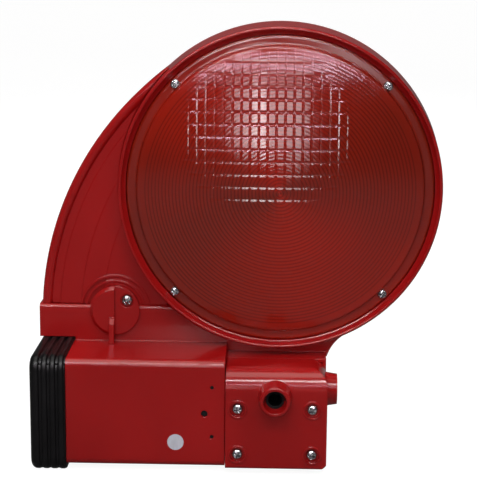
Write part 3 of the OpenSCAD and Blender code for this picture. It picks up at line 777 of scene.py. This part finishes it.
@dataclass
class LensHead:
    """Round head: ringed lens, prism plate, housing, rear cover and seals; the screws that hold the lens are
    built with the other screws.
    """

    shop: Workshop
    ring_pitch: float = 2.3
    ring_depth: float = 0.035
    inner_rings: float = 17.0
    plain_band: float = 9.3
    step_height: float = 4.4
    shell: float = 2.4
    cell: Pair = (6.3, 8.7)
    cell_height: float = 0.9
    segments: int = 240

    def build(self) -> None:
        """Builds every piece of the head."""
        self.lens()
        self.prism_plate()
        self.shop.carry("head_housing", Slot.RED_PLASTIC)
        self.shop.carry("rear_cover", Slot.RED_PLASTIC)
        self.shop.carry("lens_seal", Slot.SEAL_RUBBER)
        self.shop.carry("rear_seal", Slot.SEAL_RUBBER)

    def lens(self) -> None:
        """Turns the lens with its fine concentric rings."""
        low, high = size_of("lens")
        centre = (middle_of("lens").x, middle_of("lens").z)
        outer = (high.x - low.x) / 2
        ring_r = outer - self.plain_band
        apex, back = low.y, high.y
        flange = back - self.shell - 0.2
        sag = flange - apex - self.step_height
        dome = (ring_r**2 + sag**2) / (2 * sag)

        def crown(r: float) -> float:
            """Height of the smooth crown at a radius."""
            return apex + dome - math.sqrt(dome**2 - r**2)

        front: list[Pair] = [(0.0, crown(0.0) + 0.1)]
        edges = [self.inner_rings * i / 8 for i in range(1, 8)]
        count = int((ring_r - self.inner_rings) / self.ring_pitch)
        edges += [self.inner_rings + (ring_r - self.inner_rings) * i / count for i in range(count + 1)]
        last = 0.0
        for edge in edges:
            width = edge - last
            depth = self.ring_depth * min(1.0, width / self.ring_pitch)
            front.append((last + width * 0.22, crown(last + width * 0.22)))
            front.append((last + width * 0.80, crown(last + width * 0.80) + depth * 0.35))
            front.append((last + width * 0.94, crown(last + width * 0.94) + depth))
            last = edge
        step = [
            (ring_r + 0.8, crown(ring_r) + 0.1), (ring_r + 1.6, crown(ring_r) + 0.4),
            (ring_r + 2.3, crown(ring_r) + 1.2), (ring_r + 2.9, flange - 0.25),
            (ring_r + 3.5, flange), (ring_r + 4.0, flange), (outer - 2.2, flange), (outer - 1.6, flange),
            (outer - 0.6, flange + 0.3), (outer, flange + 0.9), (outer, back),
        ]
        inside = [
            (ring_r + 2.0, back), (ring_r + 1.0, back - 0.2), (ring_r + 0.4, crown(ring_r) + self.shell),
        ]
        inside += [(r, crown(r) + self.shell) for r in (ring_r * k / 14 for k in range(14, 0, -1))]
        inside.append((0.0, crown(0.0) + self.shell))
        press = MeshPress()
        press.lathe(front + step + inside, centre, self.segments)
        piece = press.press("ringed_lens", 50.0)
        self.shop.finish(piece, Slot.RED_LENS, Body.HOUSING, "lens")

    def prism_plate(self) -> None:
        """Builds the plate with its square grid of pyramids."""
        low, high = size_of("prism_plate")
        centre = (middle_of("prism_plate").x, middle_of("prism_plate").z)
        radius = (high.x - low.x) / 2
        face = low.y + self.cell_height
        press = MeshPress()
        edge = [(0, face), (radius - 0.5, face), (radius, face + 0.5), (radius, high.y), (0, high.y)]
        press.lathe(edge, centre, 96)
        columns, rows = int(radius / self.cell[0]) + 1, int(radius / self.cell[1]) + 1
        for i in range(-columns, columns):
            for j in range(-rows, rows):
                x0, z0 = i * self.cell[0], j * self.cell[1]
                x1, z1 = x0 + self.cell[0], z0 + self.cell[1]
                if max(math.hypot(x, z) for x in (x0, x1) for z in (z0, z1)) > radius - 1:
                    continue
                xs, zs = (x0 + centre[0], x1 + centre[0]), (z0 + centre[1], z1 + centre[1])
                self.cell_block(press, xs, zs, face, low.y)
        piece = press.press("prism_grid_plate", 20.0)
        self.shop.finish(piece, Slot.CLEAR_PRISM, Body.HOUSING, "prism_plate")

    def cell_block(self, press: MeshPress, xs: Pair, zs: Pair, face: float, top: float) -> None:
        """Adds one pillow of the prism grid.

        Args:
            press: Press that takes the pillow.
            xs: Left and right side.
            zs: Lower and upper side.
            face: Y of the plate's face.
            top: Y of the pillow's crown.
        """
        mid = ((xs[0] + xs[1]) / 2, (zs[0] + zs[1]) / 2)
        rings = []
        for share, rise in ((0.98, 0.0), (0.86, 0.45), (0.6, 0.85), (0.3, 1.0)):
            half = ((xs[1] - xs[0]) / 2 * share, (zs[1] - zs[0]) / 2 * share)
            y = face + (top - face) * rise - (0.02 if rise else -0.05)
            rings.append([
                (mid[0] + sx * half[0], max(y, top), mid[1] + sz * half[1]) for sx, sz in CORNERS
            ])
        press.skin(rings)
        press.close_last()


@dataclass
class Screws:
    """Pan-head screws with a cross recess, all made the same way."""

    shop: Workshop
    segments: int = 40
    crown_steps: int = 15
    recess: float = 0.95

    def build(self) -> None:
        """Builds every set of screws."""
        for node, front in (
            ("lens_screws", True), ("cover_screws", True), ("clamp_screw", True),
            ("rear_screws", False), ("tab_screws", False), ("board_screws", True),
        ):
            self.screw_set(node, front)

    def screw_set(self, node: str, front: bool) -> None:
        """Builds one set.

        Args:
            node: CAD node of the set.
            front: True if the heads face forward.
        """
        press = MeshPress()
        for number, (low, high) in enumerate(solids_of(node)):
            centre = ((low.x + high.x) / 2, (low.z + high.z) / 2)
            radius = (high.x - low.x) / 2
            head, tip = (low.y, high.y) if front else (high.y, low.y)
            self.one(press, centre, radius, head, tip, 0.5 + 0.7 * number)
        piece = press.press(node + "_cross_head", 40.0)
        self.shop.finish(piece, Slot.SCREW_STEEL, Body.HOUSING, node)

    def one(
        self, press: MeshPress, centre: Pair, radius: float, head: float, tip: float, turn: float,
    ) -> None:
        """Adds one screw.

        Args:
            press: Press that takes the screw.
            centre: X and Z of the axis.
            radius: Radius of the head.
            head: Y of the top of the head.
            tip: Y of the point.
            turn: Turn of the cross about the axis, in radians.
        """
        way = 1.0 if tip > head else -1.0
        height = min(radius * 0.75, abs(tip - head) / 3)
        shank = radius * 0.42
        rings: list[Ring] = []

        def ring(r: float, depth: Callable[[float, float], float]) -> None:
            """Adds a ring.

            Args:
                r: Radius of the ring.
                depth: Gives the depth below the top of the head at a radius and an angle.
            """
            points = []
            for k in range(self.segments):
                angle = math.tau * k / self.segments
                x, z = centre[0] + r * math.cos(angle), centre[1] + r * math.sin(angle)
                points.append((x, head + way * depth(r, angle), z))
            rings.append(points)

        def dome(r: float, angle: float) -> float:
            """Shapes the domed top with its cross.

            Args:
                r: Distance from the axis.
                angle: Angle about the axis, in radians.

            Returns:
                Depth below the crown.
            """
            share = r / radius
            base = height * 0.55 * share**2.6
            off = r * min(abs(math.sin(angle + turn)), abs(math.cos(angle + turn)))
            arm = max(0.0, 1.0 - off / (radius * 0.22))
            reach = max(0.0, min(1.0, (0.72 - share) / 0.12))
            pit = max(arm, 1.0 - share / 0.34)
            return base + height * self.recess * min(1.0, 1.8 * pit) * reach

        for step in range(self.crown_steps):
            ring(max(radius * step / self.crown_steps, 0.002), dome)
        for share, depth in ((0.97, 0.60), (1.0, 0.70), (1.0, 0.96), (0.98, 1.0)):
            ring(radius * share, lambda r, a, d=depth: height * d)
        length = abs(tip - head)
        for r, depth in ((shank, height), (shank, length - shank * 1.4), (shank * 0.3, length)):
            ring(r, lambda q, a, d=depth: d)
        ring(0.002, lambda q, a: length)
        press.skin(rings)


@dataclass
class EndCap:
    """Ribbed rubber cap that closes the left end of the battery box."""

    shop: Workshop
    ribs: int = 4
    groove: float = 1.5
    groove_depth: float = 1.25
    end_round: float = 4.2
    corner: float = 9.5
    corner_steps: int = 8
    side_wall: float = 2.7
    floor_wall: float = 4.2
    roof_wall: float = 1.9
    end_wall: float = 4.4
    inner_corner: float = 4.6
    panel: tuple[float, float, float] = (0.7, 11.5, 2.0)
    bar: Pair = (1.5, 20.0)

    def build(self) -> None:
        """Builds the cap from rings along the box."""
        low, high = size_of("battery_cap")
        inner_low = Vector((0, low.y + self.side_wall, low.z + self.floor_wall))
        inner_high = Vector((0, high.y - self.side_wall, high.z - self.roof_wall))
        press = MeshPress()
        press.skin([
            self.ring(x, low, high, inset, self.corner, groove)
            for x, inset, groove in self.outside(low.x, high.x)
        ])
        lip = self.ring(high.x, inner_low, inner_high, 0.0, self.inner_corner)
        press.skin([self.ring(high.x, low, high, self.groove_depth + 0.5, self.corner), lip])
        deep = low.x + self.end_wall
        floor = self.ring(deep, inner_low, inner_high, 0.0, self.inner_corner)
        press.skin([lip, floor])
        middle = (low + high) / 2
        press.lid(floor, (deep, middle.y, middle.z))
        sink, inset, corner = self.panel
        press.lid(self.ring(low.x + sink, low, high, inset, corner), (low.x + sink, middle.y, middle.z))
        stop = size_of("battery_case")[0].x - 0.4
        case = middle_of("battery_case")
        for half_y, half_z in (self.bar, self.bar[::-1]):
            self.rest_bar(press, (deep - 0.1, stop), (case.y, half_y), (case.z, half_z))
        piece = press.press("ribbed_end_cap", 50.0)
        self.shop.finish(piece, Slot.CAP_RUBBER, Body.END_CAP, "battery_cap")

    def outside(self, left: float, right: float) -> list[tuple[float, float, float]]:
        """Gives the outer profile.

        Args:
            left: X of the closed end.
            right: X of the open end.

        Returns:
            X, inset and groove depth of each ring, from the open end to the closed one.
        """
        depth = self.groove_depth
        line = [(right, depth + 0.5, 0.0), (right - 0.35, 0.5, depth * 0.6), (right - 0.8, 0.0, depth)]
        pitch = (right - left - 1.0 - self.end_round * 0.2) / self.ribs
        for rib in range(self.ribs):
            start = right - 0.9 - rib * pitch
            end = start - pitch + self.groove
            rise = ((0.0, 1.0), (0.15, 0.6), (0.45, 0.22), (1.0, 0.04))
            line += [(start - back, 0.0, depth * share) for back, share in rise]
            line.append(((start + end) / 2, 0.0, 0.0))
            if rib < self.ribs - 1:
                line += [(end + back, 0.0, depth * share) for back, share in reversed(rise)]
                line.append((end - self.groove * 0.5, 0.0, depth * 1.06))
        for step in range(1, 9):
            turn = math.pi / 2 * step / 8
            out, inset = self.end_round * (1 - math.sin(turn)), self.end_round * (1 - math.cos(turn))
            line.append((left + out, inset, 0.0))
        line += [
            (left + out, self.end_round + inset, 0.0)
            for out, inset in ((0.0, 3.0), (0.25, 3.8), (self.panel[0], 4.6))
        ]
        line.append((left + self.panel[0], self.panel[1], 0.0))
        return line

    def ring(
        self, x: float, low: Vector, high: Vector, inset: float, corner: float, groove: float = 0.0,
    ) -> Ring:
        """Makes one ring of a rounded rectangle.

        Args:
            x: Place along the box.
            low: Low corner of the rectangle.
            high: High corner of the rectangle.
            inset: How far the ring is drawn in.
            corner: Radius of the corners before it is drawn in.
            groove: How far the front, the back and the top are drawn in besides.

        Returns:
            The points of the ring.
        """
        radius = max(corner - inset, 1.2)
        y0, y1 = low.y + inset + groove + radius, high.y - inset - groove - radius
        z0, z1 = low.z + inset + radius, high.z - inset - groove - radius
        points = []
        for (cy, cz), start in (((y1, z1), 0.0), ((y0, z1), 0.25), ((y0, z0), 0.5), ((y1, z0), 0.75)):
            for step in range(self.corner_steps + 1):
                turn = math.tau * (start + 0.25 * step / self.corner_steps)
                points.append((x, cy + radius * math.cos(turn), cz + radius * math.sin(turn)))
        return points

    def rest_bar(self, press: MeshPress, xs: Pair, ys: Pair, zs: Pair) -> None:
        """Adds one bar of the cross that holds the battery.

        Args:
            press: Press that takes the bar.
            xs: Start and end along X.
            ys: Middle and half width along Y.
            zs: Middle and half height along Z.
        """
        rings = []
        for x, trim in ((xs[0], 0.0), (xs[1] - 0.4, 0.0), (xs[1], 0.4)):
            rings.append([
                (x, ys[0] + sy * (ys[1] - trim), zs[0] + sz * (zs[1] - trim)) for sy, sz in CORNERS
            ])
        press.skin(rings)
        press.close_last()


@dataclass
class BatteryBox:
    """Box, battery and contacts."""

    shop: Workshop

    def build(self) -> None:
        """Dresses the box and what it holds."""
        self.shop.carry("base_housing", Slot.RED_PLASTIC)
        self.shop.carry("battery_case", Slot.BATTERY_JACKET)
        self.shop.carry("battery_lid", Slot.SENSOR_BLACK)
        self.shop.carry("battery_terminals", Slot.SPRING_STEEL)
        self.shop.carry("contact_carrier", Slot.WHITE_PLASTIC)
        self.shop.carry("contact_strips", Slot.INSERT_BRASS)
        self.shop.carry("carrier_pins", Slot.SLEEVE_STEEL)
        self.shop.carry("switch_body", Slot.SENSOR_BLACK)
        self.shop.carry("switch_button", Slot.SENSOR_BLACK)
        self.shop.carry("switch_contact", Slot.SCREW_STEEL)
        self.shop.carry("power_leads", Slot.LEAD_SLEEVE)
        self.shop.carry("blank_label", Slot.LABEL_PAPER)


@dataclass
class MountBlock:
    """Bored block that the light hangs from."""

    shop: Workshop

    def build(self) -> None:
        """Dresses the cover, the bored sleeve and the side insert."""
        self.shop.carry("mount_cover", Slot.RED_PLASTIC)
        self.shop.carry("bolt_sleeve", Slot.SLEEVE_STEEL)
        self.shop.carry("side_insert", Slot.INSERT_BRASS)


@dataclass
class ClampDisc:
    """Disc with a fin that holds the head in the base."""

    shop: Workshop

    def build(self) -> None:
        """Dresses the disc."""
        self.shop.carry("clamp_disc", Slot.RED_PLASTIC)


@dataclass
class LampBoard:
    """Board with the emitter and its parts."""

    shop: Workshop

    def build(self) -> None:
        """Dresses the board and what is on it."""
        self.shop.carry("led_board", Slot.BOARD_GREEN)
        self.shop.carry("led_emitter", Slot.EMITTER_RESIN)
        self.shop.carry("led_collar", Slot.WHITE_PLASTIC)
        self.shop.carry("light_sensor", Slot.SENSOR_BLACK)
        self.shop.carry("board_capacitor", Slot.SENSOR_BLACK)
        self.shop.carry("board_connector", Slot.WHITE_PLASTIC)


# ---- Studio ----


@dataclass(frozen=True)
class Softbox:
    """One flat lamp."""

    name: str
    place: Point
    aim: Point
    width: float
    height: float
    radiance: float
    tint: Colour = (1.0, 1.0, 1.0)
    glow: Glow = Glow.ALL
    only_on: str = ""

    def make(self) -> None:
        """Adds the lamp, which lights only one piece if that piece is named."""
        data = bpy.data.lights.new(self.name, "AREA")
        data.shape = "RECTANGLE"
        data.size = self.width
        data.size_y = self.height
        data.energy = self.radiance * math.pi * self.width * self.height
        data.color = self.tint
        lamp = bpy.data.objects.new(self.name, data)
        lamp.location = self.place
        way = Vector(self.aim) - Vector(self.place)
        lamp.rotation_euler = way.to_track_quat("-Z", "Y").to_euler()
        lamp.visible_diffuse = self.glow is not Glow.SHINE
        lamp.visible_glossy = self.glow is not Glow.SOFT
        if self.only_on:
            lit = bpy.data.collections.new(self.name)
            lit.objects.link(bpy.data.objects[self.only_on])
            lamp.light_linking.receiver_collection = lit
        bpy.context.scene.collection.objects.link(lamp)


@dataclass
class Studio:
    """Pale floor and backdrop, soft lamps and the camera."""

    pitch: float = 11.5
    yaw: float = 1.3
    roll: float = 0.5
    focal_length_mm: float = 107.62
    camera_at: Point = (-0.0041, -0.9790, 0.2808)
    floor_reach: float = 6000.0
    sweep_start: float = 2500.0
    sweep_radius: float = 1500.0
    lamps: tuple[Softbox, ...] = (
        Softbox("window", (-0.25, -2.6, 0.66), (-0.1, 0.0, 0.15), 1.25, 0.85, 3.6, glow=Glow.SOFT),
        Softbox(
            "window glare", (-0.10, -2.5, 0.50), (0.0, 0.0, 0.17), 0.80, 0.72, 7.0,
            glow=Glow.SHINE, only_on="ringed_lens",
        ),
        Softbox("narrow window", (-0.205, -2.5, 0.50), (-0.06, 0.0, 0.02), 0.13, 0.70, 11.0, glow=Glow.SHINE),
        Softbox("low card", (0.21, -2.5, 0.055), (0.05, 0.0, 0.22), 0.20, 0.11, 4.0, glow=Glow.SHINE),
        Softbox("upper strip", (-0.05, -1.15, 1.25), (-0.05, -0.07, 0.0), 1.9, 0.09, 22.0, glow=Glow.SOFT),
        Softbox("upper shine", (-0.05, -1.15, 1.25), (-0.05, -0.07, 0.0), 1.9, 0.13, 95.0, glow=Glow.SHINE),
        Softbox(
            "lower strip", (-0.05, -1.55, 0.80), (-0.05, -0.07, 0.0), 1.9, 0.05, 9.0,
            (0.92, 0.78, 1), Glow.SOFT,
        ),
        Softbox(
            "lower shine", (-0.05, -1.55, 0.80), (-0.05, -0.07, 0.0), 1.9, 0.08, 48.0,
            (1, 0.80, 0.95), Glow.SHINE,
        ),
        Softbox("ceiling", (-0.2, -0.1, 1.7), (-0.05, -0.04, 0.0), 1.3, 1.3, 3.9, (1.0, 0.97, 0.92)),
        Softbox("rear fill", (0.5, 2.0, 1.3), (0.0, 0.0, 0.1), 1.2, 1.2, 2.4, glow=Glow.SOFT),
    )

    def build(self) -> None:
        """Builds the whole studio."""
        self.backdrop()
        for lamp in self.lamps:
            lamp.make()
        self.world()
        self.camera()

    def backdrop(self) -> None:
        """Builds a floor that sweeps up behind the light."""
        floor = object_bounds()[0].z / MM
        reach, start, radius = self.floor_reach, self.sweep_start, self.sweep_radius
        rings = []
        for x in (-reach, -2000.0, 0.0, 2000.0, reach):
            line = [(x, y, floor) for y in (-reach, -2000.0, 0.0, start)]
            line += [
                (x, start + radius * math.sin(a), floor + radius * (1 - math.cos(a)))
                for a in (math.pi / 2 * k / 12 for k in range(1, 13))
            ]
            line.append((x, start + radius, reach))
            rings.append(line)
        press = MeshPress()
        press.skin(rings, close_round=False)
        sweep = press.press("studio_floor", 60.0)
        bench = NodeBench("studio paper")
        path = bench.add("LightPath")
        glossy = bench.maths("MULTIPLY", path.outputs["Is Glossy Ray"], 0.06)
        seen = bench.maths("ADD", path.outputs["Is Camera Ray"], glossy)
        seen = bench.maths("MINIMUM", bench.maths("ADD", seen, path.outputs["Is Transmission Ray"]), 1.0)
        fibre = bench.noise(3.0, 3.0)
        colour = bench.blend(fibre, (0.19, 0.19, 0.19), (0.21, 0.21, 0.21))
        bench.surface(
            Base_Color=colour, Roughness=0.9, Specular_IOR_Level=0.0,
            Emission_Color=(1, 1, 1, 1), Emission_Strength=bench.maths("MULTIPLY", seen, 0.93),
        )
        sweep.data.materials.append(bench.material)
        sweep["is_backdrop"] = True

    def world(self) -> None:
        """Sets a plain pale surrounding light."""
        world = bpy.data.worlds.new("studio")
        bpy.context.scene.world = world
        world.use_nodes = True
        tree = world.node_tree
        tree.nodes.clear()

        def add(kind: str, operation: str = "") -> bpy.types.Node:
            """Adds a node to the world.

            Args:
                kind: Type name of the node without its prefix.
                operation: Operation of a maths node.

            Returns:
                The new node.
            """
            node = tree.nodes.new("ShaderNode" + kind)
            if operation:
                node.operation = operation
            return node

        out = add("OutputWorld")
        plain, shown = add("Background"), add("Background")
        plain.inputs["Strength"].default_value = 0.22
        for shader in (plain, shown):
            shader.inputs["Color"].default_value = (1, 1, 1, 1)
        way, split, fade = add("TexCoord"), add("SeparateXYZ"), add("MapRange")
        for name, value in (("From Min", -0.55), ("From Max", 0.1), ("To Min", 0.07), ("To Max", 0.22)):
            fade.inputs[name].default_value = value
        path, mix = add("LightPath"), add("MixShader")
        dim, first, second = add("Math", "MAXIMUM"), add("Math", "ADD"), add("Math", "ADD")
        second.use_clamp = True
        for source, target in (
            (way.outputs["Generated"], split.inputs[0]),
            (split.outputs[1], fade.inputs["Value"]),
            (fade.outputs[0], dim.inputs[0]),
            (path.outputs["Is Camera Ray"], dim.inputs[1]),
            (dim.outputs[0], shown.inputs["Strength"]),
            (path.outputs["Is Camera Ray"], first.inputs[0]),
            (path.outputs["Is Glossy Ray"], first.inputs[1]),
            (first.outputs[0], second.inputs[0]),
            (path.outputs["Is Transmission Ray"], second.inputs[1]),
            (second.outputs[0], mix.inputs[0]),
            (plain.outputs[0], mix.inputs[1]),
            (shown.outputs[0], mix.inputs[2]),
            (mix.outputs[0], out.inputs["Surface"]),
        ):
            tree.links.new(source, target)

    def camera(self) -> None:
        """Places the camera and sets the plain view transform."""
        theta, psi, rho = (math.radians(v) for v in (self.pitch, self.yaw, self.roll))
        view = Vector((-math.sin(psi) * math.cos(theta), math.cos(psi) * math.cos(theta), -math.sin(theta)))
        side = view.cross(Vector((0, 0, 1))).normalized()
        up = side.cross(view)
        right = math.cos(rho) * side + math.sin(rho) * up
        top = -math.sin(rho) * side + math.cos(rho) * up
        data = bpy.data.cameras.new("camera")
        data.sensor_fit = "HORIZONTAL"
        data.sensor_width = 36.0
        data.lens = self.focal_length_mm
        data.clip_start = 0.01
        data.clip_end = 50.0
        camera = bpy.data.objects.new("camera", data)
        turn = Matrix((right, top, -view)).transposed().to_4x4()
        camera.matrix_world = Matrix.Translation(Vector(self.camera_at)) @ turn
        bpy.context.scene.collection.objects.link(camera)
        bpy.context.scene.camera = camera
        bpy.context.scene.view_settings.view_transform = "Standard"


def main() -> None:
    """Builds the light and its studio."""
    logging.basicConfig(level=logging.INFO, format="%(name)s: %(message)s")
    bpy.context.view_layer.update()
    middle = middle_of("lens")
    shop = Workshop(FinishShelf((middle.x * MM, middle.z * MM)))
    for part in (
        LensHead(shop), Screws(shop), EndCap(shop), BatteryBox(shop),
        MountBlock(shop), ClampDisc(shop), LampBoard(shop),
    ):
        LOG.info("building %s", type(part).__name__)
        part.build()
    Studio().build()


if __name__ == "__main__":
    main()
